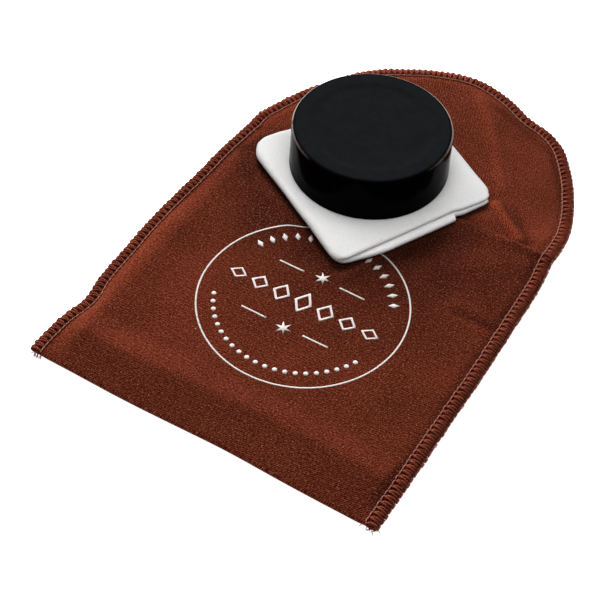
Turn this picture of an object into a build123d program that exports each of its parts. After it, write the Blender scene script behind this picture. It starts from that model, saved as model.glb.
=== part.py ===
"""A cake of bow rosin on its folded cleaning cloth, laid across its open flap pouch.

Millimetres. +X runs across the pouch, +Y from the bottom fold to the tip of the flap, +Z up.
The origin is on the resting plane, under the middle of the whole set's box.
The pouch is one strip of cloth, folded up at the bottom and overlocked down both sides and
round the flap with three threads. It is split into nodes at its fold lines.
"""
from build123d import *
import math
import os

# ---- driving dimensions ----
cake_diameter = 44.8
cake_height = 14.0
cake_foot = 0.4          # rounding of the bottom edge
cake_shoulder = 0.8      # rounding of the top edge
cake_dish = 0.4          # how far the top's middle sinks
cake_crest = 0.90        # the top is highest here, as a share of the radius
cake_flat = 0.68         # and level inside here
cake_place = (39.9, 102.8)   # pouch coordinates: across from the left edge, up from the fold

pouch_width = 100.0
pouch_length = 156.0     # laid open, bottom fold to flap tip
pocket_depth = 99.5      # bottom fold to the mouth
fabric = 0.9             # one layer of the pouch cloth
fold_radius = 1.0        # outside of the bottom fold
puff_height = 2.9        # top of the front panel where the empty pocket stands proudest
mouth_height = 1.9       # top of the front panel under the folded cloth
puff_start = 0.20        # the puffed stretch of the front panel, as shares of the pocket's depth
puff_end = 0.45
press_start = 0.64       # from here up, the folded cloth presses it flat

seam_width = 3.2         # overlock, from needle line to edge
needle_width = 0.4
wrap = 0.4               # thread wrapped round the raw edge
under_thread = 0.3       # thread below the cloth
over_thread = 0.4        # thread above the cloth
tail_reach = 1.6         # thread ends below the bottom fold
tail_radius = 0.25
tail_spacing = 0.8
tail_splay = 22.0        # degrees between neighbouring ends
tail_inset = 1.6         # from the pouch's side to the middle end

cloth_corners = [(8.2, 90.7), (51.8, 65.0), (75.0, 110.5), (31.5, 136.3)]
cloth_corner_radii = [6.0, 4.0, 3.0, 4.5]
cloth_top = 4.3          # four layers, pressed by the cake
rest_gap = 0.1           # between pieces that lie on each other

flap_side_radius = 58.0  # arcs of the flap's sides; the tip's arc follows from it
crease_start = (99.5, 100.4)  # the flap's free fold leaves the right corner of the mouth
crease_angle = 149.2     # and passes just outside the folded cloth
crease_gap = 0.1

ink = 0.1
ring_centre = (50.2, 49.7)
ring_radius = 27.9
ring_line = 0.6
diamond_size = (1.5, 3.0)    # fifteen small diamonds under the top of the ring
diamond_circle = 23.6
dot_radius = 0.65            # and a row of dots above its bottom
dot_circle = 23.4
lozenge_outside = (5.2, 7.6)     # the middle one of the row of lozenges
lozenge_inside = (3.6, 5.3)
lozenge_spacing = 6.6
lozenge_taper = 0.16         # height lost with each step away from the middle
rule_length = 7.5
rule_place = (9.2, 9.5)      # from the ring's centre, to each side, above and below
petal_size = (4.6, 1.3)
rosette_height = 10.0

# ---- frame ----
half_width = pouch_width / 2
fold_y = -(pouch_length - tail_reach) / 2
mouth_y = fold_y + pocket_depth
tip_y = fold_y + pouch_length
seam_x = half_width - seam_width
far = 4 * pouch_length   # larger than anything here


def placed(point):
    """Row-frame X and Y of a point given from the pouch's bottom left corner."""
    return (point[0] - half_width, point[1] + fold_y)


def prism(face, low, high):
    """A flat face at height zero turned into a solid from low to high."""
    return Pos(0, 0, low) * extrude(face, amount=high - low, dir=(0, 0, 1))


def block(x, y, z):
    """A box from its X, Y and Z ranges."""
    size = Box(x[1] - x[0], y[1] - y[0], z[1] - z[0], align=(Align.MIN,) * 3)
    return Pos(x[0], y[0], z[0]) * size


def below(y):
    return block((-far, far), (-far, y), (-far, far))


def above(y):
    return block((-far, far), (y, far), (-far, far))


# ---- outline of the laid-open pouch ----
def outline(inset):
    """The pouch's outer edge, or a line inside it: straight sides, then three tangent arcs.

    It runs on below the bottom fold, so that every inset keeps its sides straight there.
    """
    low = fold_y - 4 * seam_width
    side = half_width - inset
    side_centre = (half_width - flap_side_radius, mouth_y)
    reach = tip_y - mouth_y
    offset_x = side_centre[0]
    tip_radius = (offset_x**2 + reach**2 - flap_side_radius**2) / (2 * (reach - flap_side_radius))
    tip_centre = (0, tip_y - tip_radius)
    turn = math.degrees(math.atan2(tip_centre[1] - mouth_y, -offset_x))
    edge = Line((side, low), (side, mouth_y))
    shoulder = CenterArc(side_centre, flap_side_radius - inset, 0, turn)
    tip = CenterArc(tip_centre, tip_radius - inset, turn, 90 - turn)
    right = [edge, shoulder, tip]
    left = [mirror(piece, about=Plane.YZ) for piece in right]
    base = Line((-side, low), (side, low))
    return make_face(Wire([piece.edge() for piece in (*right, *left, base)]))


outer = outline(0)
raw_edge = outline(wrap)
needle_outer = outline(seam_width - needle_width)
needle_inner = outline(seam_width)

# ---- the flap's free fold ----
crease_point = placed(crease_start)
crease_run = Vector(1, 0, 0).rotate(Axis.Z, crease_angle)
crease_side = crease_run.rotate(Axis.Z, -90)   # towards the part of the flap that moves


def beyond_crease(gap):
    """Half space on the moving side of the crease, gap away from it."""
    half = block((-far, far), (gap, far), (-far, far))
    return Pos(*crease_point, 0) * Rot(0, 0, crease_angle - 180) * half


def fixed_side(shape):
    return shape - beyond_crease(-crease_gap)


def moving_side(shape):
    return shape & beyond_crease(crease_gap)


# ---- pouch cloth ----
def cloth_layer(low, high, pinched_low, pinched_high):
    """One layer with its full thickness inside the seams and less where threads grip it."""
    middle = prism(needle_inner, low, high)
    margin = prism(raw_edge - needle_inner, pinched_low, pinched_high)
    return (middle + margin) & above(fold_y + fold_radius)


def back_panel():
    return cloth_layer(0, fabric, under_thread, fabric) & below(mouth_y)


def open_flap():
    return cloth_layer(0, fabric, under_thread, fabric) & above(mouth_y)


def panel_cover(rise):
    """Everything above the back panel and below the front panel's top, raised by rise.

    A negative rise gives the pocket's inside, which starts a little lower to cut cleanly.
    """
    base = min(fabric, fabric + rise / 2)
    crown_y = fold_y + puff_start * pocket_depth
    slope_y = fold_y + puff_end * pocket_depth
    press_y = fold_y + press_start * pocket_depth
    start = fold_y + fold_radius
    side_height = 2 * fabric + rise
    along = Polyline(
        (start, base),
        (start, 2 * fold_radius + rise),
    ) + Spline(
        (start, 2 * fold_radius + rise),
        (crown_y, puff_height + rise),
        (slope_y, puff_height - 0.1 + rise),
        (press_y, mouth_height + rise),
        tangents=[(1, 0.08), (1, 0)],
    ) + Polyline(
        (press_y, mouth_height + rise),
        (mouth_y, mouth_height + rise),
        (mouth_y, base),
        (start, base),
    )
    across = ThreePointArc(
        (-seam_x, side_height),
        (0, puff_height + 0.05 + rise),
        (seam_x, side_height),
    ) + Polyline(
        (seam_x, side_height),
        (seam_x, base),
        (-seam_x, base),
        (-seam_x, side_height),
    )
    side_view = Plane.YZ * make_face(Wire(along.edges()))
    front_view = Plane.XZ * make_face(Wire(across.edges()))
    lengthwise = extrude(side_view, amount=seam_x, both=True)
    crosswise = extrude(front_view, amount=far, both=True)
    return lengthwise & crosswise


def front_panel():
    """The pocket's front, slightly puffed, with the rounded bottom fold along its lower edge."""
    start = fold_y + fold_radius
    shell = panel_cover(0) - panel_cover(-fabric)
    roll = Pos(0, start, fold_radius) * Rot(0, 90, 0) * Cylinder(fold_radius, 2 * seam_x)
    roll = roll & below(start)
    margins = prism(raw_edge - needle_inner, fabric, 2 * fabric - under_thread)
    margins = margins & below(mouth_y) & above(start)
    return shell + roll + margins


# ---- overlock ----
def looper_wall(low, high):
    return prism(outer - raw_edge, low, high)


def lower_looper(height):
    """The thread on the underside, wrapped half way up the raw edge."""
    return prism(outer - needle_inner, 0, under_thread) + looper_wall(under_thread, height / 2)


def upper_looper(height):
    """The thread on the upper side, wrapped half way down the raw edge."""
    top = prism(outer - needle_outer, height, height + over_thread)
    return top + looper_wall(height / 2, height)


def needle_thread(height):
    """The straight row of stitches that holds both loopers."""
    return prism(needle_outer - needle_inner, height, height + over_thread)


def seam_run(thread):
    """A thread along the whole edge: two layers at the pocket and one round the flap."""
    pocket = thread(2 * fabric - under_thread) & below(mouth_y) & above(fold_y)
    flap = thread(fabric) & above(mouth_y)
    return pocket, flap


def left_half(shape):
    return shape & block((-far, 0), (-far, far), (-far, far))


def right_half(shape):
    return shape & block((0, far), (-far, far), (-far, far))


def thread_tail(corner_x):
    """Three short thread ends, splayed from a bottom corner."""
    strand = Cylinder(tail_radius, tail_reach - 0.1, align=(Align.CENTER, Align.CENTER, Align.MIN))
    strands = []
    for spread in (-1, 0, 1):
        place = Pos(corner_x + spread * tail_spacing, fold_y, tail_radius)
        strands.append(place * Rot(0, 0, spread * tail_splay) * Rot(90, 0, 0) * strand)
    return strands


# ---- print ----
def printed(face):
    """Ink of one thickness over a flat shape, following the front panel's top."""
    film = panel_cover(ink) - panel_cover(0)
    return film & prism(Pos(*placed(ring_centre), 0) * face, 0, 2 * puff_height)


def diamond(width, height):
    corners = [(-width / 2, 0), (0, -height / 2), (width / 2, 0), (0, height / 2)]
    return make_face(Polyline(*corners, close=True))


def arc_of(face, radius, start, end, count):
    """Copies of a small face, evenly spaced on an arc and turned with it."""
    step = (end - start) / (count - 1)
    return [
        Rot(0, 0, start + step * index - 90) * Pos(0, radius) * face
        for index in range(count)
    ]


def group(faces):
    return Sketch() + faces


def ring():
    return Circle(ring_radius + ring_line / 2) - Circle(ring_radius - ring_line / 2)


def upper_arc():
    return group(arc_of(diamond(*diamond_size), diamond_circle, 30, 150, 15))


def lower_arc():
    return group(arc_of(Circle(dot_radius), dot_circle, 205, 335, 21))


def centre_band():
    """A row of lozenge frames that get shorter away from the middle one."""
    lozenges = []
    for place in range(-3, 4):
        size = 1 - lozenge_taper * abs(place)
        outside = diamond(lozenge_outside[0], lozenge_outside[1] * size)
        inside = diamond(lozenge_inside[0], lozenge_inside[1] * size)
        lozenges.append(Pos(place * lozenge_spacing, 0) * (outside - inside))
    return group(lozenges)


def side_rules():
    rules = []
    for height in (rule_place[1], -rule_place[1]):
        for across in (rule_place[0], -rule_place[0]):
            rules.append(Pos(across, height) * Rectangle(rule_length, ring_line))
    return group(rules)


def rosettes():
    petals = []
    for height in (rosette_height, -rosette_height):
        for turn in range(0, 180, 60):
            petals.append(Pos(0, height) * Rot(0, 0, turn) * diamond(*petal_size))
    return group(petals)


# ---- cleaning cloth and cake ----
def folded_cloth():
    """The white cloth, folded in four. It steps down off the mouth on to the flap."""
    corners = [placed(corner) for corner in cloth_corners]
    face = make_face(Polyline(*corners, close=True))
    for corner, radius in zip(corners, cloth_corner_radii):
        near = face.vertices().sort_by_distance(Vector(*corner, 0))[0]
        face = fillet(near, radius)
    over_pocket = prism(face, mouth_height + ink + rest_gap, cloth_top)
    over_flap = prism(face, fabric + rest_gap, cloth_top) & above(mouth_y + 2 * rest_gap)
    return over_pocket + over_flap


def rosin_cake():
    """A cast disc: straight side, crisp foot, rounded shoulder and a gently dished top."""
    radius = cake_diameter / 2
    shoulder_z = cake_height - cake_shoulder
    crest = (cake_crest * radius, cake_height)
    flat = (cake_flat * radius, cake_height - cake_dish)
    outline = Polyline((0, 0), (radius - cake_foot, 0))
    outline += RadiusArc((radius - cake_foot, 0), (radius, cake_foot), -cake_foot)
    outline += Line((radius, cake_foot), (radius, shoulder_z))
    outline += RadiusArc((radius, shoulder_z), (radius - cake_shoulder, cake_height), -cake_shoulder)
    outline += Line((radius - cake_shoulder, cake_height), crest)
    outline += Spline(crest, flat, tangents=[(-1, 0), (-1, 0)])
    outline += Polyline(flat, (0, cake_height - cake_dish), (0, 0))
    profile = Plane.XZ * make_face(Wire(outline.edges()))
    cake = revolve(profile, axis=Axis.Z)
    return Pos(*placed(cake_place), cloth_top + rest_gap) * cake


# ---- write one file per node ----
def parts():
    whole_flap = open_flap()
    nodes = {
        "pouch_back_panel": back_panel(),
        "pouch_front_panel": front_panel(),
        "pouch_flap_root": fixed_side(whole_flap),
        "pouch_flap": moving_side(whole_flap),
    }
    threads = {
        "needle_thread": needle_thread,
        "upper_looper_thread": upper_looper,
        "lower_looper_thread": lower_looper,
    }
    for name, thread in threads.items():
        pocket, flap = seam_run(thread)
        nodes[f"left_{name}"] = left_half(pocket) + left_half(fixed_side(flap))
        nodes[f"right_{name}"] = right_half(pocket) + right_half(fixed_side(flap))
        nodes[f"flap_{name}"] = moving_side(flap)
    nodes["left_thread_tail"] = Compound(children=thread_tail(tail_inset - half_width))
    nodes["right_thread_tail"] = Compound(children=thread_tail(half_width - tail_inset))
    prints = {
        "print_ring": ring,
        "print_upper_diamonds": upper_arc,
        "print_lower_dots": lower_arc,
        "print_lozenge_row": centre_band,
        "print_side_rules": side_rules,
        "print_rosettes": rosettes,
    }
    for name, shape in prints.items():
        nodes[name] = printed(shape())
    nodes["cleaning_cloth"] = folded_cloth()
    nodes["rosin_cake"] = rosin_cake()
    return nodes


os.makedirs("parts", exist_ok=True)
for node, solid in parts().items():
    export_step(solid, f"parts/{node}.step")

# The fold's axis lies on top of the edge threads, so that nothing above it closes on itself.
print("fold axis point", [round(value, 4) for value in (*crease_point, fabric + over_thread)])
print("fold axis", [round(value, 6) for value in (-crease_run.X, -crease_run.Y, 0)])
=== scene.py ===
import math

import bpy
import numpy as np
from mathutils import Matrix, Vector

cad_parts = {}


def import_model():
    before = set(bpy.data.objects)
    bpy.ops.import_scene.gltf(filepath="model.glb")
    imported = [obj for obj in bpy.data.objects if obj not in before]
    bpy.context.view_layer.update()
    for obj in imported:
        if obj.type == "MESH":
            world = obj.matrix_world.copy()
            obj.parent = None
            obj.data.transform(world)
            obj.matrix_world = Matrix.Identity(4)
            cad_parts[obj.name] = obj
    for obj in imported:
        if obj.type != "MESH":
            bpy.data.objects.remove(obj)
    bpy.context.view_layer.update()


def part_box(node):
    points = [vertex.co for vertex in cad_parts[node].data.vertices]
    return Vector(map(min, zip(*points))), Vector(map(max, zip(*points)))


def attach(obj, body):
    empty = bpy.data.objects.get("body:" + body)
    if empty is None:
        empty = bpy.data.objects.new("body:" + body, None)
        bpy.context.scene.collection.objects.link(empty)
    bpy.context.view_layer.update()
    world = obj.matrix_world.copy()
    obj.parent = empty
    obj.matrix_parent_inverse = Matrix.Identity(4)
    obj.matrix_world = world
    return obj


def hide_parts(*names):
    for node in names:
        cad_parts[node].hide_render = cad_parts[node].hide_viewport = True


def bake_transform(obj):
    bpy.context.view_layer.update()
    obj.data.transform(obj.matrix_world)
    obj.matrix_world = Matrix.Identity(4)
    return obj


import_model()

# Everything is in the row frame, in metres. Shapes are worked out in pouch millimetres, from the
# pouch's bottom left corner: x across, y towards the flap, z up. place() takes them to the row frame.
MM = 0.001
POCKET_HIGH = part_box("pouch_front_panel")[1]
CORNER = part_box("left_upper_looper_thread")[0]
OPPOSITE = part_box("right_upper_looper_thread")[1]
CAKE_LOW, CAKE_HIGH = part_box("rosin_cake")

CAKE_RADIUS = (CAKE_HIGH.x - CAKE_LOW.x) / 2 / MM
CAKE_RIM = CAKE_RADIUS - 0.08          # the visible cake's radius at its top
CAKE_FLARE = 0.22                      # its foot is this much wider
WIDTH = (OPPOSITE.x - CORNER.x) / MM
MIDDLE = WIDTH / 2
MOUTH = (POCKET_HIGH.y - CORNER.y) / MM

# ---- pouch cloth ----
LAYER = 0.7              # thickness of one layer
BACK_REST = 0.37         # middle of the back layer, lying flat
FRONT_REST = 1.08        # middle of the front layer where the pocket is pressed shut
SEAM_LIFT = 0.23         # the layers stand on the thread under the seam
SEAM = 3.2               # overlock, from needle line to edge
WRAP = 0.35              # thread outside the raw edge
FOLD_CENTRE = 0.78       # bottom fold: its axis from the pouch's lower edge, and its reach
FOLD_REACH = 0.42
ACROSS = 116             # quads across the pouch
PANEL_ROWS = 112
FOLD_ROWS = 8
FLAP_ROWS = 66
FLAP_ROW = 0.8           # flat length of one of the flap's rows

POUCH_DARK = (0.048, 0.0028, 0.0006, 1)
POUCH_LIGHT = (0.222, 0.0490, 0.0215, 1)

# ---- overlock ----
PITCH = 1.75             # one stitch
STITCH_STEPS = 16        # points along each thread in a stitch
FILAMENT = 0.095         # radius of one filament of looper thread
NEEDLE = 0.15            # radius of the needle thread

# ---- cleaning cloth ----
CLOTH_NEAR = np.array([50.9, 65.5])    # its corners, folded, from the one nearest the bottom fold
CLOTH_LEFT = np.array([8.2, 90.5])
CLOTH_RIGHT = np.array([74.4, 111.7])
CLOTH_SIDE = 50.5
NOTCH = 36.5                           # the lower half steps back here, and runs on to LOWER_END
LOWER_END = 49.6
CLOTH_LAYER = 0.92                     # one of its four layers

# ---- print ----
RING_CENTRE = (50.2, 49.7)
RING_RADIUS = 27.9
RING_LINE = 0.44
INK = 0.07

# Lines of painted shade on the pouch's nap, or painted highlight below 0: start, end, width and
# strength.
PAINTED_SHADING_LINES = (
    ((88, 101.2), (75.5, 111.5), 1.2, -0.13),
    ((92, 102), (79.5, 112.5), 1.6, 0.10),
    ((52, 149), (60, 140), 1.6, -0.08),
    ((60, 140), (75, 117), 1.4, -0.10),
    ((58, 147.5), (80, 139), 1.4, 0.13),
    ((80, 139), (95, 118), 1.5, 0.14),
    ((9, 82), (36, 66), 9, 0.07),
    ((92, 92), (78, 52), 11, 0.07),
    ((64, 144), (92, 112), 7, 0.04),
    ((34, 150), (60, 128), 7, 0.07),
)


# ---------------------------------------------------------------- helpers
def smooth(value, low, high):
    """0 below low, 1 above high, and a smooth step between them."""
    t = np.clip((value - low) / (high - low), 0, 1)
    return t * t * (3 - 2 * t)


def bump(value, centre, width):
    return np.exp(-(((value - centre) / width) ** 2))


def ripple(x, y, size, seed=0.0):
    """Smooth waves from -1 to 1 that don't visibly repeat, about size across."""
    total = 0
    for step in range(5):
        turn = 2.4 * step + 1.7 * seed
        rate = 2 * math.pi / (size * (1 + 0.31 * step))
        along = x * math.cos(turn) + y * math.sin(turn)
        total = total + np.sin(rate * along + 1.3 * step * step + seed)
    return total / 5


def ridge(x, y, start, end, width):
    """1 along a line from start to end, falling off to its sides and past its ends."""
    run = np.array(end, float) - start
    length = np.hypot(*run)
    run = run / length
    along = (x - start[0]) * run[0] + (y - start[1]) * run[1]
    aside = (y - start[1]) * run[0] - (x - start[0]) * run[1]
    ends = smooth(along, -width, width) * (1 - smooth(along, length - width, length + width))
    return bump(aside, 0, width) * ends


def place(points):
    """Pouch millimetres to the row frame's metres."""
    return np.asarray(points, float) * MM + np.array([CORNER.x, CORNER.y, 0])


def unit(vectors):
    return vectors / np.maximum(np.linalg.norm(vectors, axis=-1, keepdims=True), 1e-9)


def mesh_object(name, points, faces, **uvs):
    """A mesh piece from pouch-millimetre points and faces, and UV maps with a UV for each point."""
    mesh = bpy.data.meshes.new(name)
    mesh.from_pydata(place(points).tolist(), [], faces)
    corners = np.zeros(len(mesh.loops), int)
    mesh.loops.foreach_get("vertex_index", corners)
    for title, uv in uvs.items():
        layer = mesh.uv_layers.new(name=title)
        layer.data.foreach_set("uv", np.asarray(uv, np.float32)[corners].ravel())
    mesh.polygons.foreach_set("use_smooth", np.ones(len(mesh.polygons), bool))
    mesh.validate()
    piece = bpy.data.objects.new(name, mesh)
    bpy.context.scene.collection.objects.link(piece)
    return piece


def grid_faces(rows, columns, first=0, closed=False):
    """Quads of a grid of points stored row by row. closed joins the last column to the first."""
    faces = []
    for row in range(rows - 1):
        for column in range(columns if closed else columns - 1):
            a = first + row * columns + column
            b = first + row * columns + (column + 1) % columns
            faces.append((a, b, b + columns, a + columns))
    return faces


def thicken(piece, thickness):
    """Gives an open sheet its thickness, half on each side, and applies it."""
    modifier = piece.modifiers.new("Thickness", "SOLIDIFY")
    modifier.thickness = thickness * MM
    modifier.offset = 0
    apply_modifiers(piece)


def apply_modifiers(piece):
    bpy.context.view_layer.update()
    graph = bpy.context.evaluated_depsgraph_get()
    done = bpy.data.meshes.new_from_object(piece.evaluated_get(graph))
    piece.modifiers.clear()
    old = piece.data
    piece.data = done
    bpy.data.meshes.remove(old)
    done.polygons.foreach_set("use_smooth", np.ones(len(done.polygons), bool))


def tubes(name, strands, sides=6):
    """Round strands. Each is (points, radii) in pouch millimetres, and the ends are closed."""
    points, faces, uvs = [], [], []
    turns = np.arange(sides) * 2 * math.pi / sides
    for line, radii in strands:
        tangent = unit(np.gradient(line, axis=0))
        normal = np.zeros_like(line)
        normal[0] = unit(np.cross(tangent[0], (0.31, 0.52, 0.79)))
        for index in range(1, len(line)):
            carried = normal[index - 1]
            normal[index] = unit(carried - tangent[index] * (carried @ tangent[index]))
        other = np.cross(tangent, normal)
        spread = np.cos(turns)[None, :, None] * normal[:, None]
        spread = spread + np.sin(turns)[None, :, None] * other[:, None]
        ring = line[:, None] + spread * np.asarray(radii).reshape(-1, 1, 1)
        first = sum(len(block) for block in points)
        points.append(ring.reshape(-1, 3))
        faces += grid_faces(len(line), sides, first, closed=True)
        faces.append(tuple(range(first + sides - 1, first - 1, -1)))
        last = first + (len(line) - 1) * sides
        faces.append(tuple(range(last, last + sides)))
        run = np.concatenate([[0], np.cumsum(np.linalg.norm(np.diff(line, axis=0), axis=1))])
        around = np.tile(turns / (2 * math.pi), len(line))
        uvs.append(np.stack([around, np.repeat(run, sides)], 1))
    return mesh_object(name, np.concatenate(points), faces, Cloth=np.concatenate(uvs))


# ---------------------------------------------------------------- outline of the pouch
def left_edge(y):
    pulled = 1.3 * bump(y, 21, 5.5) - 0.9 * bump(y, 55, 18) - 0.6 * bump(y, 5, 8)
    return 0.1 + pulled + 0.8 * smooth(y, 86, MOUTH) + 0.12 * ripple(y, 0, 11, 1)


def right_edge(y):
    bulge = 0.4 * bump(y, 52, 30) - 0.2 * bump(y, 0, 6)
    return WIDTH - 0.1 + bulge - 1.0 * smooth(y, 88, MOUTH) + 0.12 * ripple(y, 40, 11, 2)


def flap_radius(turn):
    """The flap's outer edge from the middle of the mouth. turn is 0 at the right corner."""
    degrees = np.degrees(turn)
    corners = 0.75 * bump(degrees, 172, 6.5) - 0.9 * bump(degrees, 0, 9)
    round_end = 49.4 + 5.2 * np.sin(turn) ** 3 + 0.6 * np.cos(turn) + corners
    tip = 2.0 * bump(degrees, 92, 11) + 0.55 * bump(degrees, 106, 8) + 0.8 * bump(degrees, 124, 13)
    dent = 1.6 * bump(degrees, 53, 11) + 0.3 * bump(degrees, 38, 7) - 1.2 * bump(degrees, 69, 6)
    dent = dent - 0.6 * bump(degrees, 141, 6)
    uneven = 0.12 * ripple(degrees, 0, 17, 3) * np.sin(turn)
    return round_end - 0.3 * np.sin(turn) + tip + dent + uneven


def bottom_edge(x):
    """How far the bottom fold bows in from a straight line."""
    return 0.5 * bump(x, 58, 14) - 0.2 * bump(x, 27, 11)


# ---------------------------------------------------------------- heights of the pouch cloth
def cloth_place(x, y):
    """Distances along the cleaning cloth's two near sides, from their shared corner."""
    left = (CLOTH_LEFT - CLOTH_NEAR) / CLOTH_SIDE
    right = (CLOTH_RIGHT - CLOTH_NEAR) / CLOTH_SIDE
    across = left[0] * right[1] - left[1] * right[0]
    dx = x - CLOTH_NEAR[0]
    dy = y - CLOTH_NEAR[1]
    return (dx * right[1] - dy * right[0]) / across, (dy * left[0] - dx * left[1]) / across


def free_of_cloth(x, y, reach):
    """0 under the cleaning cloth, rising to 1 at reach from its sides."""
    a, b = cloth_place(x, y)
    outside_a = np.maximum(np.maximum(-a, a - CLOTH_SIDE), 0)
    outside_b = np.maximum(np.maximum(-b, b - CLOTH_SIDE), 0)
    return smooth(np.hypot(outside_a, outside_b), 0, reach)


def seam_grip(x, y):
    """1 in the side seams, 0 inside the pocket."""
    inside = np.minimum(x - left_edge(y), right_edge(y) - x)
    return 1 - smooth(inside, SEAM - 0.4, SEAM + 2.2)


def mouth_folds(x, y):
    """Both layers ride up in a fold from the mouth's right corner towards the cloth."""
    fold = 0.8 * ridge(x, y, (88.5, 100.5), (75.5, 111.2), 1.8)
    slack = 1.2 * bump(np.hypot(x - 96, y - 103.5), 0, 9)
    valley = 0.5 * ridge(x, y, (92, 101.0), (79.0, 111.8), 1.5)
    return np.maximum(fold + slack - valley, 0) * smooth(y, MOUTH - 4, MOUTH + 1.5)


def back_middle(x, y):
    return BACK_REST + SEAM_LIFT * seam_grip(x, y) + mouth_folds(x, y)


def front_middle(x, y):
    """The front layer stands proud of the empty pocket and slopes down to the bottom fold."""
    tilted = y - 2.2 * smooth(x, 5, 75)
    foot = np.clip((y - FOLD_CENTRE) / (10.3 + y - tilted), 0, 1)
    plateau = (2.0 - 1.1 * smooth(tilted, 9.6, 19.5)) * (1 - 0.35 * x / WIDTH)
    waves = 0.22 * ripple(x, y, 31, 5) + 0.10 * ripple(x, y, 13, 8)
    rise = foot * smooth(x, 2.5, 9) * (plateau + waves)
    from_ridge = x - left_edge(y) - 5.4
    swell = np.where(from_ridge < 0, bump(from_ridge, 0, 2.1), bump(from_ridge, 0, 7.0))
    rise = rise + 0.97 * swell * smooth(y, 5, 17) * (1 - smooth(y, 54, 72))
    rise = rise + 0.30 * swell * smooth(y, 60, 74) * (1 - smooth(y, 86, 96))
    rise = rise - 0.22 * ridge(x, y, (85, 68.2), (96, 68.0), 1.2)
    rise = rise + 0.22 * ridge(x, y, (83, 71.5), (97, 71.0), 2.0)
    rise = rise + 0.30 * ridge(x, y, (97, 95), (72, 80), 5.0)
    rise = rise + 0.25 * smooth(y, MOUTH - 7, MOUTH) * smooth(x, 68, 76) * (1 - smooth(x, 88, 97))
    grip = seam_grip(x, y)
    rise = np.maximum(rise * free_of_cloth(x, y, 5), -0.1) * (1 - grip)
    return FRONT_REST + SEAM_LIFT * grip + rise + mouth_folds(x, y)


def flap_middle(x, y):
    """One layer, wavy at its rim and creased between the mouth's corner and the cloth."""
    dx = x - MIDDLE
    dy = y - MOUTH
    turn = np.arctan2(np.maximum(dy, 0), dx)
    inside = flap_radius(turn) - np.hypot(dx, dy)
    rim = 1 - smooth(inside, SEAM - 0.4, SEAM + 2.5)
    free = free_of_cloth(x, y, 6) * smooth(dy, 0, 6)
    waves = 0.45 + 0.20 * ripple(x, y, 25, 11) + 0.12 * ripple(x, y, 10, 12)
    crease = 0.36 * ridge(x, y, (52, 149), (60, 140), 2.2)
    crease = crease + 0.36 * ridge(x, y, (60, 140), (70, 125), 2.2)
    crease = crease + 0.30 * ridge(x, y, (70, 125), (76, 115), 2.4)
    channel = 0.12 * ridge(x, y, (60, 147), (80, 139), 1.8)
    channel = channel + 0.16 * ridge(x, y, (80, 139), (94, 119), 1.8)
    curl = rim * (0.12 + 0.20 * ripple(np.degrees(turn), 0, 37, 13))
    rise = np.maximum(((waves + crease - channel) * (1 - rim) + curl) * free, 0)
    return BACK_REST + rise + mouth_folds(x, y)


def upper_middle(x, y):
    """The layer that faces up: the front panel's, and the flap's beyond the mouth."""
    return np.where(y <= MOUTH, front_middle(x, y), flap_middle(x, y))


def painted_nap_shading(x, y):
    """Painted light and shade on the brushed nap: 0.5 when flat, lighter on slopes to the light and on
    crests, darker in hollows, with painted shadow round the cleaning cloth and along the listed lines."""
    step = 0.8
    here = upper_middle(x, y)
    right, left = upper_middle(x + step, y), upper_middle(x - step, y)
    up, down = upper_middle(x, y + step), upper_middle(x, y - step)
    # Painted light on slopes facing the light and painted shade on those facing away; painted highlight
    # on crests and painted shade in hollows.
    slope = 0.62 * (right - left) / (2 * step) - 0.40 * (up - down) / (2 * step)
    crest = -0.16 * (right + left + up + down - 4 * here) / step**2
    a, b = cloth_place(x, y)
    # Painted shadow round the cleaning cloth, reaching further past its near sides; on the front, a
    # broad painted shadow round it that also deepens towards the right.
    before = smooth(a, 4, -4)
    beside = smooth(b, 4, -4) * (1 - before)
    shade = 0.15 * (1 - free_of_cloth(x, y, 2 + 7 * before + 6 * beside))
    on_front = 1 - smooth(y, MOUTH - 2, MOUTH + 2)
    shade = shade + (0.15 * (1 - free_of_cloth(x, y, 42)) + 0.09 * x / WIDTH - 0.04) * on_front
    for begin, finish, width, strength in PAINTED_SHADING_LINES:
        shade = shade + strength * ridge(x, y, begin, finish, width)
    # A round spot of painted shade on the flap.
    shade = shade + 0.07 * bump(np.hypot(x - 63, y - 127), 0, 5)
    near_mouth = 1 - bump(y, MOUTH, 1.0)
    return np.clip(0.5 + (slope + crest) * near_mouth - shade, 0, 1)


def pouch_top(x, y):
    """The surface that the cleaning cloth lies on: the front panel, then down to the flap."""
    step = smooth(y, MOUTH - 0.5, MOUTH + 3.0)
    return front_middle(x, np.minimum(y, MOUTH)) * (1 - step) + flap_middle(x, y) * step + LAYER / 2


# ---------------------------------------------------------------- pouch sheet
def panel_x(c, y):
    """X at share c from -1 at the left raw edge to 1 at the right one."""
    left = left_edge(y) + WRAP
    right = right_edge(y) - WRAP
    return (left + right) / 2 + c * (right - left) / 2


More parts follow.
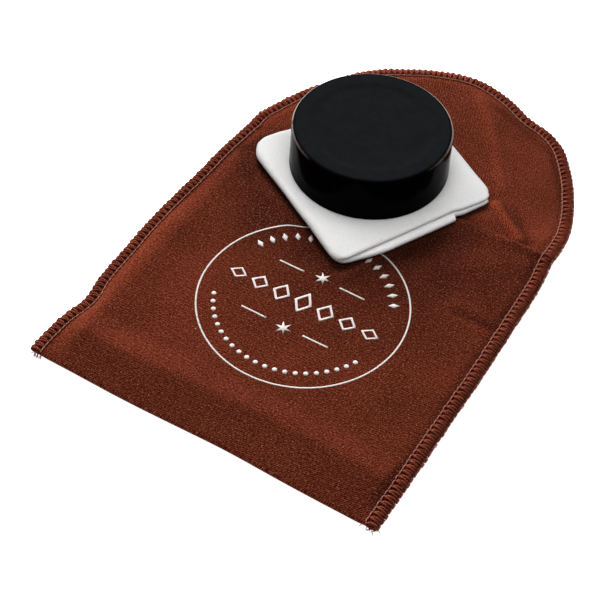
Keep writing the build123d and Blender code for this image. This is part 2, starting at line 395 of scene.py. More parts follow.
def pouch_sheet():
    """The pouch's one strip of cloth, from the mouth down the front, round the fold, up the back
    and out to the flap's tip.

    The Cloth UVs are millimetres on the flat strip. The second UV map holds the distance from the
    outer edge, and the painted light and shade on the nap.
    """
    c = np.linspace(-1, 1, ACROSS + 1)
    rows, uvs, edge_and_shading_uvs = [], [], []
    along = 0.0

    # tone is the painted light and shade on the nap, 0.5 where there is none.
    def add(x, y, z, step, tone=0.5):
        nonlocal along
        along += step
        rows.append(np.stack([x, y, z], 1))
        uvs.append(np.stack([MIDDLE * (1 + c), np.full_like(c, along)], 1))
        turn = np.arctan2(np.maximum(y - MOUTH, 0), x - MIDDLE)
        in_flap = flap_radius(turn) - np.hypot(x - MIDDLE, y - MOUTH)
        in_sides = np.minimum(x - left_edge(y), right_edge(y) - x)
        inside = np.where(y > MOUTH, in_flap, in_sides)
        edge_and_shading_uvs.append(np.stack([inside, tone + np.zeros_like(c)], 1))

    spacing = (MOUTH - FOLD_CENTRE) / PANEL_ROWS
    for index in range(PANEL_ROWS + 1):
        y = MOUTH - spacing * index
        x = panel_x(c, y)
        hem = 0.35 * ripple(x, 0, 33, 4) * smooth(y, MOUTH - 6, MOUTH)
        bow = bottom_edge(x) * (1 - smooth(y, 0, 30))
        add(x, y + hem + bow, front_middle(x, y), spacing, painted_nap_shading(x, y))
    x = panel_x(c, FOLD_CENTRE)
    top = front_middle(x, FOLD_CENTRE)
    low = back_middle(x, FOLD_CENTRE)
    for index in range(1, FOLD_ROWS):
        turn = math.pi * index / FOLD_ROWS
        y = FOLD_CENTRE - FOLD_REACH * math.sin(turn)
        z = (top + low) / 2 + (top - low) / 2 * math.cos(turn)
        add(x, y + bottom_edge(x), z, 2 * FOLD_REACH / FOLD_ROWS)
    for index in range(PANEL_ROWS + 1):
        y = FOLD_CENTRE + spacing * index
        x = panel_x(c, y)
        bow = bottom_edge(x) * (1 - smooth(y, 0, 30))
        add(x, y + bow, back_middle(x, y), spacing)
    for index in range(1, FLAP_ROWS + 1):
        s = index / FLAP_ROWS
        across = c * math.sqrt(1 - s * s / 2)
        out = s * np.sqrt(1 - c * c / 2)
        turn = np.arctan2(out, across)
        reach = np.hypot(across, out) * (flap_radius(turn) - WRAP)
        x = MIDDLE + reach * np.cos(turn)
        y = MOUTH + reach * np.sin(turn)
        grip = seam_grip(x, np.full_like(x, MOUTH)) * (1 - smooth(y, MOUTH, MOUTH + 5))
        root = BACK_REST + SEAM_LIFT * grip + mouth_folds(x, y)
        add(x, y, np.maximum(flap_middle(x, y), root), FLAP_ROW, painted_nap_shading(x, y))
    points = np.concatenate(rows)
    faces = grid_faces(len(rows), ACROSS + 1)
    maps = {"Cloth": np.concatenate(uvs), "EdgeAndPaintedShading": np.concatenate(edge_and_shading_uvs)}
    sheet = mesh_object("pouch_cloth", points, faces, **maps)
    thicken(sheet, LAYER)
    return sheet


# ---------------------------------------------------------------- overlock threads
def edge_path():
    """The overlocked edge, from the bottom left corner round the flap to the bottom right one."""
    up = np.linspace(0.3, MOUTH, 400)
    turns = np.linspace(math.pi, 0, 620)[1:-1]
    left = np.stack([left_edge(up), up], 1)
    radius = flap_radius(turns)
    flap = np.stack([MIDDLE + radius * np.cos(turns), MOUTH + radius * np.sin(turns)], 1)
    right = np.stack([right_edge(up[::-1]), up[::-1]], 1)
    path = np.concatenate([left, flap, right])
    run = np.concatenate([[0], np.cumsum(np.hypot(*np.diff(path, axis=0).T))])
    return path, run


def edge_point(distance):
    """The points at distances along the edge."""
    path, run = EDGE
    x = np.interp(distance, run, path[:, 0])
    y = np.interp(distance, run, path[:, 1])
    return np.stack([x, y], -1)


def seam_frame(distance):
    """Edge point, outward direction, and the cloth's top and bottom, at distances along the edge."""
    point = edge_point(distance)
    tangent = unit(edge_point(distance + 0.8) - edge_point(distance - 0.8))
    out = np.stack([-tangent[..., 1], tangent[..., 0]], -1)
    inner = point - out * SEAM / 2
    x, y = inner[..., 0], inner[..., 1]
    flap_top = flap_middle(x, np.maximum(y, MOUTH))
    ramp = smooth(y, MOUTH - 0.5, MOUTH + 3.5)
    top = front_middle(x, np.minimum(y, MOUTH)) * (1 - ramp) + flap_top * ramp + LAYER / 2
    low = back_middle(x, np.minimum(y, MOUTH)) * (1 - ramp) + flap_top * ramp - LAYER / 2
    return point, out, top, low


def stitched():
    """The number of stitches along the edge, and the length of one."""
    count = round(EDGE[1][-1] / PITCH)
    return count, EDGE[1][-1] / count


def looper(name, filaments, over, seed):
    """A looper thread: out from each needle hole, round the raw edge a little way, and back.

    Each filament of the soft thread is its own strand. The legs fan out from their hole, and leave
    a gap beside the needle line half way to the next one.
    """
    random = np.random.default_rng(seed)
    stitches, pitch = stitched()
    phase = np.linspace(0, stitches, stitches * STITCH_STEPS + 1)
    index = np.minimum(phase.astype(int), stitches - 1)
    part = phase - index
    out_share = smooth(part, 0.03, 0.42) * (1 - smooth(part, 0.58, 0.97))
    fan = 0.26 * smooth(part, 0.02, 0.30) + 0.48 * smooth(part, 0.44, 0.56)
    fan = fan + 0.26 * smooth(part, 0.70, 0.98)
    leg = np.where(part < 0.5, 1, -1)
    lean = random.normal(0, 0.05, stitches + 1)
    height = random.normal(0, 0.06, stitches)
    reach = random.normal(0, 0.09, stitches)
    turn_wide = smooth(out_share, 0.05, 0.45)
    strands = []
    for filament in range(filaments):
        share = (filament - (filaments - 1) / 2) / max(filaments - 1, 1)
        stray = random.normal(0, 0.06, (stitches, 3))
        spread = share * leg * (0.18 + 0.34 * turn_wide) * (1 - 0.6 * bump(part, 0.5, 0.05))
        root = lean[index] * (1 - part) + lean[index + 1] * part
        distance = (index + fan + root + 0.5 * spread) * pitch + stray[index, 0] * out_share
        point, out, top, low = seam_frame(distance)
        wrap = smooth(out_share, 0.80, 1.0)
        full = 1 - (2 * out_share - 1) ** 2
        inset = SEAM * (1 - out_share) - (0.08 + reach[index] * out_share) * wrap
        inset = inset + 0.12 * stray[index, 1]
        side = top if over else low
        away = 1 if over else -1
        side = side - 0.34 * (top - low) * smooth(out_share, 0.3, 1.0) * over
        arch = 0.26 * (1 - (2 * share) ** 2) * turn_wide
        puff = 0.26 * full + height[index] * out_share + arch + 0.6 * stray[index, 2] * full
        dip = -0.34 * (1 - smooth(out_share, 0.0, 0.22))
        lifted = side + away * (FILAMENT + (puff if over else 0.2 * puff) + dip)
        edge_z = (top + low) / 2 + 0.14 * away + share * 0.3
        z = lifted * (1 - wrap) + edge_z * wrap
        z = np.maximum(z, FILAMENT)
        line = np.concatenate([point - out * inset[:, None], z[:, None]], 1)
        strands.append((line, np.full(len(line), FILAMENT)))
    return tubes(name, strands, 6)


def needle_line():
    """The straight stitches: each rises out of one hole, bows inwards and dips into the next."""
    random = np.random.default_rng(5)
    stitches, pitch = stitched()
    phase = np.linspace(0, stitches, stitches * 10 + 1)
    index = np.minimum(phase.astype(int), stitches - 1)
    part = phase - index
    point, out, top, _ = seam_frame(phase * pitch)
    arc = np.sin(math.pi * part)
    stray = random.normal(0, 0.05, stitches)[index] * arc
    inset = SEAM - 0.05 + 0.16 * arc + stray
    z = top + NEEDLE * 0.9 + 0.20 * arc ** 0.7 - 0.25 * bump(np.minimum(part, 1 - part), 0, 0.06)
    line = np.concatenate([point - out * inset[:, None], z[:, None]], 1)
    return tubes("overlock_needle_thread", [(line, np.full(len(line), NEEDLE))], 7)


def thread_ends(name, centre, seed):
    """A small tuft of cut ends where the seam stops at the bottom fold."""
    random = np.random.default_rng(seed)
    strands = []
    ends = 11
    t = np.linspace(0, 1, 12)[:, None]
    for _ in range(ends):
        length = random.uniform(1.2, 2.6)
        heading = math.radians(-90 + random.uniform(-55, 55))
        root = np.array([centre + random.uniform(-1.4, 1.4), 0.9, random.uniform(0.4, 1.5)])
        away = np.array([math.cos(heading), math.sin(heading), 0])
        curl = np.array([-away[1], away[0], 0]) * random.uniform(-0.9, 0.9)
        fall = np.array([0, 0, -1]) * min(root[2] - 0.2, 0.9)
        line = root + away * length * t + curl * t**2 + fall * t**2
        radii = np.linspace(0.13, 0.07, len(t))
        line[:, 2] = np.maximum(line[:, 2], radii)
        line[:, 1] = np.maximum(line[:, 1], -1.6)
        strands.append((line, radii))
    return tubes(name, strands, 6)


# ---------------------------------------------------------------- print
def ink_piece(name, shapes):
    """Thin solid ink over flat shapes. Each shape is (points, faces) around the ring's centre."""
    points, faces = [], []
    for flat, flat_faces in shapes:
        flat = np.asarray(flat, float)
        x = flat[:, 0] + RING_CENTRE[0]
        y = flat[:, 1] + RING_CENTRE[1]
        surface = front_middle(x, y) + LAYER / 2
        first = len(points)
        count = len(flat)
        points += np.stack([x, y, surface + INK], 1).tolist()
        points += np.stack([x, y, surface - INK], 1).tolist()
        sides = {}
        for face in flat_faces:
            faces.append(tuple(first + i for i in face))
            faces.append(tuple(first + count + i for i in reversed(face)))
            for a, b in zip(face, face[1:] + face[:1]):
                if (b, a) in sides:
                    del sides[(b, a)]
                else:
                    sides[(a, b)] = True
        for a, b in sides:
            faces.append((first + b, first + a, first + count + a, first + count + b))
    return mesh_object(name, points, faces)


def band(inner, outer):
    """A closed band between two outlines with the same number of points."""
    count = len(inner)
    points = list(outer) + list(inner)
    faces = [(i, (i + 1) % count, count + (i + 1) % count, count + i) for i in range(count)]
    return points, faces


def disc(outline):
    """A filled outline, fanned from its middle."""
    count = len(outline)
    centre = np.mean(outline, axis=0)
    return [centre, *outline], [(0, 1 + i, 1 + (i + 1) % count) for i in range(count)]


def circle(radius, count):
    turns = np.arange(count) * 2 * math.pi / count
    return np.stack([radius * np.cos(turns), radius * np.sin(turns)], 1)


def diamond(width, height, steps=4):
    """Points round a diamond, steps to a side."""
    corners = np.array([(width / 2, 0), (0, height / 2), (-width / 2, 0), (0, -height / 2)])
    points = []
    for start, end in zip(corners, np.roll(corners, -1, axis=0)):
        points += [start + (end - start) * step / steps for step in range(steps)]
    return np.array(points)


def turned(points, degrees):
    c, s = math.cos(math.radians(degrees)), math.sin(math.radians(degrees))
    return np.asarray(points) @ np.array([[c, s], [-s, c]])


def print_shapes():
    """A ring with a generic ornament inside, in millimetres from the ring's centre."""
    ring_inner = circle(RING_RADIUS - RING_LINE / 2, 240)
    ring_outer = circle(RING_RADIUS + RING_LINE / 2, 240)
    ring = [band(ring_inner, ring_outer)]
    upper = []
    for turn in np.linspace(30, 150, 15):
        upper.append(disc(turned(diamond(1.5, 3.0) + (0, 23.6), turn - 90)))
    lower = []
    for turn in np.linspace(205, 335, 21):
        lower.append(disc(turned(circle(0.65, 16) + (0, 23.4), turn - 90)))
    lozenges = []
    for index in range(-3, 4):
        size = 1 - 0.16 * abs(index)
        shift = (6.6 * index, 0)
        lozenges.append(band(diamond(3.6, 5.3 * size) + shift, diamond(5.2, 7.6 * size) + shift))
    rules = []
    for height in (9.5, -9.5):
        for side in (-1, 1):
            x = np.linspace(-3.75, 3.75, 9) + side * 9.2
            low = np.stack([x, np.full_like(x, height - RING_LINE / 2)], 1)
            high = np.stack([x[::-1], np.full_like(x, height + RING_LINE / 2)], 1)
            count = len(x)
            faces = [(i, i + 1, 2 * count - 2 - i, 2 * count - 1 - i) for i in range(count - 1)]
            rules.append((np.concatenate([low, high]), faces))
    stars = []
    for height in (10.0, -10.0):
        turns = np.radians(np.arange(0, 360, 30))
        reach = np.where(np.arange(12) % 2 == 0, 2.3, 0.75)
        star = np.stack([reach * np.cos(turns), reach * np.sin(turns) + height], 1)
        stars.append(disc(star))
    return {
        "print_ring": ring,
        "print_upper_diamonds": upper,
        "print_lower_dots": lower,
        "print_lozenge_row": lozenges,
        "print_side_rules": rules,
        "print_rosettes": stars,
    }


# ---------------------------------------------------------------- cleaning cloth
def cleaning_cloth():
    """One sheet folded in half twice. The first fold is its right side, the second its left side.

    a is the distance from the right side and b the distance from the left side. The lower half is
    set back, but less so beyond the notch. UVs are millimetres on the flat sheet.
    """
    half = CLOTH_LAYER / 2
    stack = 2 * CLOTH_LAYER
    steps = 64
    flat = np.linspace(half, CLOTH_SIDE, steps)
    turns = np.linspace(0, math.pi, 9)[1:-1]
    a = np.concatenate([flat[::-1], half - half * np.sin(turns), flat])
    level = np.concatenate([np.full(steps, half), half * np.cos(turns), np.full(steps, -half)])
    sheet_a = np.concatenate([[0], np.cumsum(np.hypot(np.diff(a), np.diff(level)))])
    rows, uvs = [], []

    def add(b, height, sheet_b, slip):
        rows.append(cloth_point(a - slip, b, height))
        uvs.append(np.stack([sheet_a, np.full_like(sheet_a, sheet_b)], 1))

    for b in np.linspace(CLOTH_SIDE, stack, 62):
        add(np.full_like(a, b), 1.5 * stack + level, CLOTH_SIDE - b, 0)
    for turn in np.linspace(0, math.pi, 13)[1:-1]:
        reach = stack / 2 + level
        add(stack - reach * math.sin(turn), stack + reach * math.cos(turn), CLOTH_SIDE + turn, 0)
    for b in np.linspace(stack, LOWER_END, 66):
        slip = 2.3 * smooth(b, 0, 16) - 1.7 * smooth(b, NOTCH - 0.2, NOTCH + 0.6)
        slip = slip + 0.30 * ripple(b, 0, 7, 25) * smooth(b, NOTCH, NOTCH + 2)
        add(np.full_like(a, b), 0.5 * stack - level, CLOTH_SIDE + b, slip)
    faces = grid_faces(len(rows), len(a))
    points = np.concatenate(rows)
    cloth = mesh_object("cleaning_cloth_folded", points, faces, Cloth=np.concatenate(uvs))
    thicken(cloth, CLOTH_LAYER * 0.93)
    return cloth


def cloth_point(a, b, height):
    """Lays points of the folded stack on the pouch: soft corners, pressed flat under the cake."""
    for far_a, far_b, radius in ((0, 0, 4.0), (1, 0, 5.5), (0, 1, 3.2), (1, 1, 4.5)):
        in_a = CLOTH_SIDE - a if far_a else a
        in_b = CLOTH_SIDE - b if far_b else b
        s = np.clip(1 - in_a / radius, 0, 1)
        t = np.clip(1 - in_b / radius, 0, 1)
        in_a = in_a + radius * s * (1 - np.sqrt(1 - t * t / 2))
        in_b = in_b + radius * t * (1 - np.sqrt(1 - s * s / 2))
        a = CLOTH_SIDE - in_a if far_a else in_a
        b = CLOTH_SIDE - in_b if far_b else in_b
    a = a + 0.30 * ripple(b, height * 3, 19, 21)
    b = b + 0.25 * ripple(a, height * 3, 17, 22)
    to_left = CLOTH_LEFT - CLOTH_NEAR
    to_right = CLOTH_RIGHT - CLOTH_NEAR
    x = CLOTH_NEAR[0] + (a * to_left[0] + b * to_right[0]) / CLOTH_SIDE
    y = CLOTH_NEAR[1] + (a * to_left[1] + b * to_right[1]) / CLOTH_SIDE
    rest = pouch_top(x, y) + 0.06
    total = 4 * CLOTH_LAYER
    middle = (CAKE_LOW + CAKE_HIGH) / 2
    away = np.hypot(x - (middle.x - CORNER.x) / MM, y - (middle.y - CORNER.y) / MM)
    pressed = 1 - smooth(away, CAKE_RADIUS - 0.5, CAKE_RADIUS + 8)
    natural = total * 1.10 + 0.25 * ripple(x, y, 23, 24)
    thick = natural * (1 - pressed) + (CAKE_LOW.z / MM - 0.03 - rest) * pressed
    share = height / total
    droop = 0.24 * total * smooth(b, NOTCH - 3, NOTCH + 9) * share
    round_off = share**2 * (1.0 * (1 - smooth(a, -1, 6)) + 0.5 * (1 - smooth(b, -1, 5)))
    z = rest + share * thick - (droop + round_off) * (1 - pressed)
    return np.stack([x, y, z], 1)


# ---------------------------------------------------------------- cake
def rosin_cake():
    """A cast disc: a crisp foot that is a little wider, a rounded shoulder, and a dished top with
    a shallow ring round it."""
    radius = CAKE_RIM
    height = (CAKE_HIGH.z - CAKE_LOW.z) / MM
    foot = 0.35
    shoulder = 1.2
    drop = 0.75
    segments = 224
    outline = [(r, 0.0) for r in np.linspace(0.01, radius - foot, 8)]
    for turn in np.linspace(0, math.pi / 2, 6)[1:]:
        outline.append((radius - foot + foot * math.sin(turn), foot - foot * math.cos(turn)))
    outline += [(radius, z) for z in np.linspace(foot, height - drop, 22)[1:]]
    for turn in np.linspace(0, math.pi / 2, 14)[1:]:
        out = radius - shoulder + shoulder * math.cos(turn)
        outline.append((out, height - drop + drop * math.sin(turn)))
    for r in np.linspace(radius - shoulder, 0.01, 64)[1:]:
        dish = 0.40 * (1 - smooth(r, 0.68 * radius, 0.90 * radius))
        sink = dish - 0.10 * bump(r, 0.80 * radius, 0.9)
        outline.append((r, height - float(sink)))
    outline = np.array(outline)
    turns = np.arange(segments) * 2 * math.pi / segments
    r = outline[:, 0][:, None]
    z = outline[:, 1][:, None]
    outside = r > radius - 0.5
    wall = outside * smooth(z, 0.5, 2.5)
    around = turns[None, :] * radius
    uneven = 0.05 * ripple(around, z, 9, 31) + 0.02 * ripple(around, z, 3, 32)
    on_top = (z > height - 1.0) * (r < radius - shoulder)
    z = z + 0.03 * on_top * ripple(r * np.cos(turns), r * np.sin(turns), 8, 33)
    r = r + (uneven - 0.05) * wall + CAKE_FLARE * (1 - z / height) * outside
    centre = (CAKE_LOW + CAKE_HIGH) / 2
    x = (centre.x - CORNER.x) / MM + r * np.cos(turns)
    y = (centre.y - CORNER.y) / MM + r * np.sin(turns)
    points = np.stack([x, y, CAKE_LOW.z / MM + z], 2).reshape(-1, 3)
    faces = [tuple(reversed(face)) for face in grid_faces(len(outline), segments, closed=True)]
    faces.append(tuple(range(segments)))
    last = (len(outline) - 1) * segments
    faces.append(tuple(range(last + segments - 1, last - 1, -1)))
    return mesh_object("rosin_cake_cast", points, faces)


# ---------------------------------------------------------------- materials
class Paint:
    """A material with a few short calls to make and join its nodes."""

    def __init__(self, name):
        self.material = bpy.data.materials.new(name)
        self.material.use_nodes = True
        self.tree = self.material.node_tree
        self.shader = self.tree.nodes["Principled BSDF"]

    def node(self, kind, inputs=(), out=0, **settings):
        node = self.tree.nodes.new("ShaderNode" + kind)
        for key, value in settings.items():
            setattr(node, key, value)
        for key, value in dict(inputs).items():
            self.feed(node.inputs[key], value)
        return node.outputs[out]

    def feed(self, socket, value):
        if isinstance(value, bpy.types.NodeSocket):
            self.tree.links.new(value, socket)
        else:
            socket.default_value = value

    def math(self, operation, a, b=0.0):
        return self.node("Math", {0: a, 1: b}, operation=operation)

    def noise(self, vector, scale, detail=3.0, roughness=0.55):
        inputs = {"Vector": vector, "Scale": scale, "Detail": detail, "Roughness": roughness}
        return self.node("TexNoise", inputs)

    def steps(self, value, low, high, to_low=0.0, to_high=1.0):
        inputs = {"Value": value, "From Min": low, "From Max": high, "To Min": to_low, "To Max": to_high}
        return self.node("MapRange", inputs)

    def mix(self, share, first, second):
        mixer = self.tree.nodes.new("ShaderNodeMix")
        mixer.data_type = "RGBA"
        self.feed(mixer.inputs[0], share)
        self.feed(mixer.inputs[6], first)
        self.feed(mixer.inputs[7], second)
        return mixer.outputs[2]

    def weighted(self, *terms):
        """The sum of (value, weight) terms."""
        total = self.math("MULTIPLY", *terms[0])
        for term in terms[1:]:
            total = self.math("ADD", total, self.math("MULTIPLY", *term))
        return total

    def multiply(self, colour, factor, clamp=False):
        """The colour times a number."""
        grey = self.node("CombineXYZ", {0: factor, 1: factor, 2: factor})
        inputs = {0: 1.0, 6: colour, 7: grey}
        settings = {"data_type": "RGBA", "blend_type": "MULTIPLY", "clamp_result": clamp}
        return self.node("Mix", inputs, out=2, **settings)

    def set(self, **inputs):
        for key, value in inputs.items():
            self.feed(self.shader.inputs[key.replace("_", " ")], value)

    def bumped(self, height, depth):
        self.set(Normal=self.node("Bump", {"Height": height, "Distance": depth * MM, "Strength": 1.0}))


def weave(paint, spacing, slant):
    """Twill on the Cloth UVs: a height from 0 to 1, and the UVs themselves."""
    uv = paint.node("UVMap", uv_map="Cloth")
    stray = paint.node("TexNoise", {"Vector": uv, "Scale": 0.9, "Detail": 2.0}, out=1)
    moved = paint.node("VectorMath", {0: stray, 1: (0.5, 0.5, 0.5)}, operation="SUBTRACT")
    moved = paint.node("VectorMath", {0: moved, 3: 0.9 * spacing}, operation="SCALE")
    moved = paint.node("VectorMath", {0: uv, 1: moved}, operation="ADD")
    parts = paint.node("SeparateXYZ", {0: moved}).node
    u, v = parts.outputs[0], parts.outputs[1]
    rate = 2 * math.pi / spacing
    slanted = paint.math("ADD", u, paint.math("MULTIPLY", v, slant))
    diagonal = paint.math("SINE", paint.math("MULTIPLY", slanted, rate))
    thread = paint.math("SINE", paint.math("MULTIPLY", u, rate * 1.37))
    cross = paint.math("SINE", paint.math("MULTIPLY", v, rate * 1.21))
    crossing = paint.math("MULTIPLY", thread, cross)
    height = paint.math("ADD", diagonal, paint.math("MULTIPLY", crossing, 0.8))
    return paint.steps(height, -1.8, 1.8), uv


def twist(paint, rate):
    """A thread's plies on the Cloth UVs, rate turns to the millimetre: a height from 0 to 1."""
    parts = paint.node("SeparateXYZ", {0: paint.node("UVMap", uv_map="Cloth")}).node
    turns = paint.weighted((parts.outputs[0], 2.0), (parts.outputs[1], rate))
    return paint.steps(paint.math("SINE", paint.math("MULTIPLY", turns, 2 * math.pi)), -1, 1)


def pouch_material():
    """Red-brown brushed twill with painted light and shade on the nap, painted shade under the overlock,
    and a few specks of lint.
    """
    paint = Paint("brushed_red_brown_twill")
    height, uv = weave(paint, 0.62, 0.8)
    nap = paint.noise(uv, 1.7, 3.0, 0.80)
    fibre = paint.noise(uv, 5.0, 2.0, 0.75)
    mottle = paint.noise(uv, 0.10, 3.0, 0.5)
    level = paint.weighted((height, 0.28), (nap, 0.62), (fibre, 0.20))
    colour = paint.mix(paint.steps(level, 0.505, 0.640), POUCH_DARK, POUCH_LIGHT)
    edge = paint.node("SeparateXYZ", {0: paint.node("UVMap", uv_map="EdgeAndPaintedShading")}).node
    # tone: the painted light and shade of the nap from the second UV map, plus a random mottle.
    tone = paint.math("ADD", paint.steps(edge.outputs[1], 0.30, 0.70, 0.50, 1.50),
                      paint.steps(mottle, 0.3, 0.7, -0.12, 0.10))
    colour = paint.multiply(colour, tone)
    # Painted shade over the seam band under the overlock threads.
    pressed = paint.steps(edge.outputs[0], SEAM + 0.4, SEAM - 0.2)
    colour = paint.mix(paint.math("MULTIPLY", pressed, 0.55), colour, (0.018, 0.0024, 0.0010, 1))
    fleck = paint.steps(paint.noise(uv, 2.3, 1.0, 0.5), 0.60, 0.72)
    colour = paint.mix(paint.math("MULTIPLY", fleck, 0.6), colour, (0.360, 0.150, 0.100, 1))
    lint = paint.node("TexVoronoi", {"Vector": uv, "Scale": 0.085, "Randomness": 1.0})
    speck = paint.steps(lint, 0.026, 0.018)
    colour = paint.mix(speck, colour, (0.50, 0.36, 0.30, 1))
    paint.set(Base_Color=colour, Roughness=1.0)
    paint.set(Sheen_Weight=0.04, Sheen_Roughness=0.5, Sheen_Tint=(1.0, 0.45, 0.3, 1))
    paint.set(IOR=1.18)
    paint.bumped(level, 0.22)
    return paint.material


def thread_material():
    """Soft red-brown thread, with painted light on the sides that face the far left and painted shade on
    the sides that face away.
    """
    paint = Paint("red_brown_overlock_thread")
    ply = twist(paint, 2.4)
    spot = paint.node("TexCoord", out=3)
    mottle = paint.noise(spot, 900.0, 3.0, 0.6)
    level = paint.weighted((ply, 0.45), (mottle, 0.55))
    dark, light = (0.160, 0.0235, 0.0110, 1), (0.570, 0.152, 0.088, 1)
    colour = paint.mix(paint.steps(level, 0.2, 0.8), dark, light)
    # Painted light and shade by which way the thread's surface faces.
    normal = paint.node("NewGeometry", out=1)
    facing = paint.node("VectorMath", {0: normal, 1: (-0.85, 0.53, 0)}, operation="DOT_PRODUCT", out=1)
    painted_side_shading = paint.steps(facing, -0.5, 0.5, 0.62, 1.32)
    colour = paint.multiply(colour, painted_side_shading, clamp=True)
    paint.set(Base_Color=colour, Roughness=0.85)
    paint.set(Sheen_Weight=0.02, Sheen_Roughness=0.45, Sheen_Tint=(1.0, 0.45, 0.35, 1))
    paint.set(IOR=1.1)
    paint.bumped(ply, 0.05)
    return paint.material


def needle_material():
    paint = Paint("paler_needle_thread")
    ply = twist(paint, 1.6)
    colour = paint.mix(ply, (0.30, 0.100, 0.070, 1), (0.60, 0.280, 0.210, 1))
    paint.set(Base_Color=colour, Roughness=0.7)
    paint.set(Sheen_Weight=0.1, Sheen_Roughness=0.4)
    paint.set(IOR=1.3)
    paint.bumped(ply, 0.05)
    return paint.material


def ink_material():
    """Matt white ink that the weave shows through in small breaks."""
    paint = Paint("white_screen_print")
    spot = paint.node("TexCoord", out=3)
    grain = paint.noise(spot, 2400.0, 3.0, 0.7)
    breaks = paint.noise(spot, 1100.0, 4.0, 0.75)
    gap = paint.steps(breaks, 0.60, 0.70)
    colour = paint.mix(paint.steps(grain, 0.3, 0.7), (0.74, 0.66, 0.62, 1), (0.92, 0.89, 0.87, 1))
    colour = paint.mix(gap, colour, (0.26, 0.10, 0.07, 1))
    paint.set(Base_Color=colour, Roughness=0.75)
    paint.bumped(paint.math("SUBTRACT", grain, gap), 0.05)
    return paint.material


def flannel_material():
    paint = Paint("white_brushed_flannel")
    height, uv = weave(paint, 0.9, 0.0)
    nap = paint.noise(uv, 1.3, 5.0, 0.7)
    fibre = paint.noise(uv, 5.5, 4.0, 0.75)
    level = paint.weighted((height, 0.05), (nap, 0.65), (fibre, 0.30))
    colour = paint.mix(paint.steps(level, 0.3, 0.75), (0.63, 0.615, 0.607, 1), (0.74, 0.735, 0.73, 1))
    paint.set(Base_Color=colour, Roughness=1.0)
    paint.set(IOR=1.2)
    paint.set(Subsurface_Weight=0.7, Subsurface_Radius=(1.0, 0.9, 0.85), Subsurface_Scale=2.2 * MM)
    paint.bumped(level, 0.22)
    return paint.material


def rosin_material():
    """Near-black rosin: satin top, lighter partly from dust and partly from painted reflection, glossy
    cast side, and a painted highlight along the far rim.
    """
    paint = Paint("dark_cast_rosin")
    spot = paint.node("TexCoord", out=3)
    height = paint.node("SeparateXYZ", {0: spot}).node.outputs[2]
    centre = (CAKE_LOW + CAKE_HIGH) / 2
    edge = CAKE_RIM * MM
    flat = paint.node("VectorMath", {0: spot, 1: (centre.x, centre.y, 0)}, operation="SUBTRACT")
    flat = paint.node("VectorMath", {0: flat, 1: (1, 1, 0)}, operation="MULTIPLY")
    radius = paint.node("VectorMath", {0: flat}, operation="LENGTH", out=1)
    above = paint.steps(height, CAKE_HIGH.z - 1.2 * MM, CAKE_HIGH.z - 0.6 * MM)
    on_top = paint.math("MULTIPLY", above, paint.steps(radius, edge - 0.3 * MM, edge - 1.3 * MM))
    rim = paint.math("MULTIPLY", paint.steps(height, CAKE_HIGH.z - 0.75 * MM, CAKE_HIGH.z - 0.60 * MM),
                     paint.steps(radius, edge - 0.50 * MM, edge - 0.30 * MM))
    far = paint.node("VectorMath", {0: flat, 1: (-0.43, 0.90, 0)}, operation="DOT_PRODUCT", out=1)
    dust = paint.noise(spot, 420.0, 5.0, 0.65)
    fine = paint.noise(spot, 2600.0, 4.0, 0.7)
    along = paint.node("Mapping", {"Vector": spot, "Rotation": (0, 0, 0.6), "Scale": (260, 2600, 1)})
    scratch = paint.steps(paint.noise(along, 1.0, 3.0, 0.6), 0.66, 0.72)
    # The top's lighter colour is partly dust and partly painted reflection; the side's near-black is the
    # rosin's own.
    dark, light = (0.0085, 0.0092, 0.0105, 1), (0.0112, 0.0118, 0.0132, 1)
    top_colour = paint.mix(paint.steps(dust, 0.35, 0.7), dark, light)
    colour = paint.mix(on_top, (0.0009, 0.0006, 0.0005, 1), top_colour)
    # Painted highlight along the top rim, broken up by the dust noise, strongest at the far side.
    painted_rim_highlight = paint.math("MULTIPLY", rim, paint.steps(dust, 0.24, 0.50))
    painted_rim_highlight = paint.math("MULTIPLY", painted_rim_highlight, paint.steps(far, -0.7 * edge, 0.1 * edge, 0.0, 0.9))
    colour = paint.mix(painted_rim_highlight, colour, (0.42, 0.35, 0.31, 1))
    rough = paint.steps(on_top, 0, 1, 0.14, 0.42)
    rough = paint.math("ADD", rough, paint.math("MULTIPLY", paint.math("SUBTRACT", fine, 0.5), 0.12))
    rough = paint.math("ADD", rough, paint.math("MULTIPLY", scratch, -0.12))
    paint.set(Base_Color=colour, Roughness=rough)
    paint.set(IOR=1.05)
    tall = paint.node("Mapping", {"Vector": spot, "Scale": (1, 1, 0.35)})
    cast = paint.noise(tall, 260.0, 3.0, 0.5)
    relief = paint.weighted((cast, 0.6), (fine, 0.05))
    scored = paint.math("MULTIPLY", scratch, on_top)
    relief = paint.math("SUBTRACT", relief, paint.math("MULTIPLY", scored, 0.2))
    paint.bumped(relief, 0.05)
    return paint.material


def floor_material():
    paint = Paint("pale_floor")
    spot = paint.node("TexCoord", out=3)
    tone = paint.noise(spot, 3.0, 2.0)
    colour = paint.mix(tone, (0.93, 0.93, 0.93, 1), (0.95, 0.95, 0.95, 1))
    paint.set(Base_Color=colour, Roughness=0.9)
    paint.set(Emission_Color=(1, 1, 1, 1), Emission_Strength=0.95)
    return paint.material


def painted(piece, material):
    piece.data.materials.clear()
    piece.data.materials.append(material)
    return piece


# ---------------------------------------------------------------- pieces
EDGE = edge_path()


def bend_over_fold(piece):
    """Bakes the piece's transform into its mesh points."""
    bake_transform(piece)


pouch = painted(pouch_sheet(), pouch_material())
bend_over_fold(pouch)
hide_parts("pouch_back_panel", "pouch_front_panel", "pouch_flap_root", "pouch_flap")

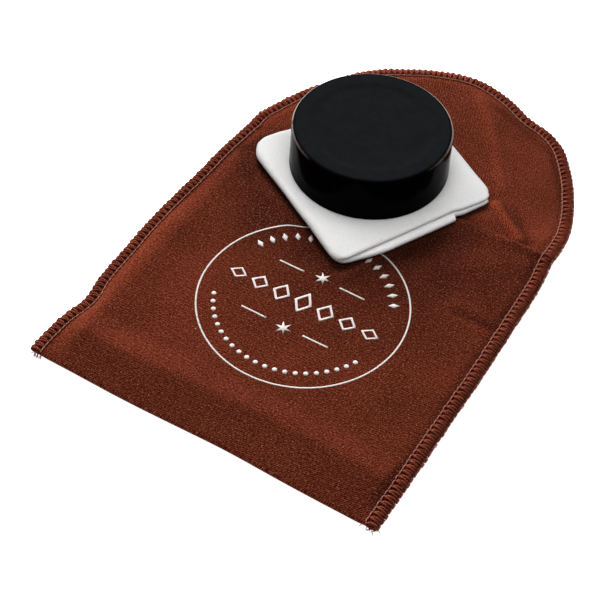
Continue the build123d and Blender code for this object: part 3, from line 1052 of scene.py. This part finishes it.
thread = thread_material()
threads = {
    "needle_thread": painted(needle_line(), needle_material()),
    "upper_looper_thread": painted(looper("overlock_upper_looper", 4, True, 7), thread),
    "lower_looper_thread": painted(looper("overlock_lower_looper", 3, False, 9), thread),
}
for node, piece in threads.items():
    bend_over_fold(piece)
    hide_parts(f"left_{node}", f"right_{node}", f"flap_{node}")

for side, centre, seed in (("left", 1.7, 41), ("right", WIDTH - 1.7, 43)):
    piece = painted(thread_ends(f"{side}_thread_ends", centre, seed), thread)
    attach(piece, "pouch")
    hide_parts(f"{side}_thread_tail")

ink = ink_material()
for node, shapes in print_shapes().items():
    piece = painted(ink_piece(node + "_ink", shapes), ink)
    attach(piece, "pouch")
    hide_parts(node)

cloth = painted(cleaning_cloth(), flannel_material())
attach(cloth, "cleaning_cloth")
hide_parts("cleaning_cloth")

cake = painted(rosin_cake(), rosin_material())
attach(cake, "rosin_cake")
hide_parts("rosin_cake")


# ---------------------------------------------------------------- floor, light and camera
def floor():
    """A wide square, a hair below the pieces."""
    size = 3.0
    below = 0.00002
    piece = mesh_object("floor", [(0, 0, 0)] * 4, [(0, 1, 2, 3)])
    for vertex, corner in zip(piece.data.vertices, ((-1, -1), (1, -1), (1, 1), (-1, 1))):
        vertex.co = (corner[0] * size, corner[1] * size, -below)
    painted(piece, floor_material())


def softbox(name, location, size, power, piece=None, state="INCLUDE"):
    """A square soft light, turned to the frame's origin. It lights only the piece given, or all but
    that piece with EXCLUDE."""
    light = bpy.data.lights.new(name, "AREA")
    light.shape = "SQUARE"
    light.size = size
    light.energy = power
    lamp = bpy.data.objects.new(name, light)
    lamp.location = location
    lamp.rotation_euler = (Vector((0, 0, 0)) - Vector(location)).to_track_quat("-Z", "Y").to_euler()
    lamp.visible_glossy = False
    if piece:
        lit = bpy.data.collections.new(name + "_pieces")
        lit.objects.link(piece)
        lit.collection_objects[0].light_linking.link_state = state
        lamp.light_linking.receiver_collection = lit
    bpy.context.scene.collection.objects.link(lamp)


def world(strength):
    sky = bpy.data.worlds.new("studio")
    sky.use_nodes = True
    background = sky.node_tree.nodes["Background"]
    background.inputs["Color"].default_value = (1, 1, 1, 1)
    background.inputs["Strength"].default_value = strength
    bpy.context.scene.world = sky


def camera(location, azimuth, elevation, roll, lens):
    """Azimuth 0 looks along +Y and turns anticlockwise, elevation looks down, in degrees."""
    turn, tilt, lean = (math.radians(value) for value in (azimuth, elevation, roll))
    ahead = Vector((-math.sin(turn) * math.cos(tilt), math.cos(turn) * math.cos(tilt), -math.sin(tilt)))
    level = Vector((math.cos(turn), math.sin(turn), 0))
    up = level.cross(ahead)
    right = level * math.cos(lean) + up * math.sin(lean)
    up = up * math.cos(lean) - level * math.sin(lean)
    eye = bpy.data.cameras.new("camera")
    eye.lens = lens
    eye.sensor_width = 36
    eye.clip_start = 0.01
    viewer = bpy.data.objects.new("camera", eye)
    rotation = Matrix((right, up, -ahead)).transposed().to_4x4()
    viewer.matrix_world = Matrix.Translation(location) @ rotation
    bpy.context.scene.collection.objects.link(viewer)
    bpy.context.scene.camera = viewer


floor()
world(strength=0.22)
softbox("key", location=(-0.62, 0.80, 0.80), size=0.60, power=25.5, piece=cloth, state="EXCLUDE")
softbox("top", location=(0.0, 0.35, 1.1), size=0.9, power=1.0)
softbox("cloth_fill", location=(0.12, -0.10, 1.0), size=0.8, power=7.9, piece=cloth)
softbox("cloth_back", location=(-0.55, 0.35, 0.80), size=0.8, power=7.4, piece=cloth)
camera((0.12046, -0.25056, 0.29505), azimuth=28.53, elevation=49.03, roll=3.25, lens=89.43)
bpy.context.scene.view_settings.view_transform = "Standard"
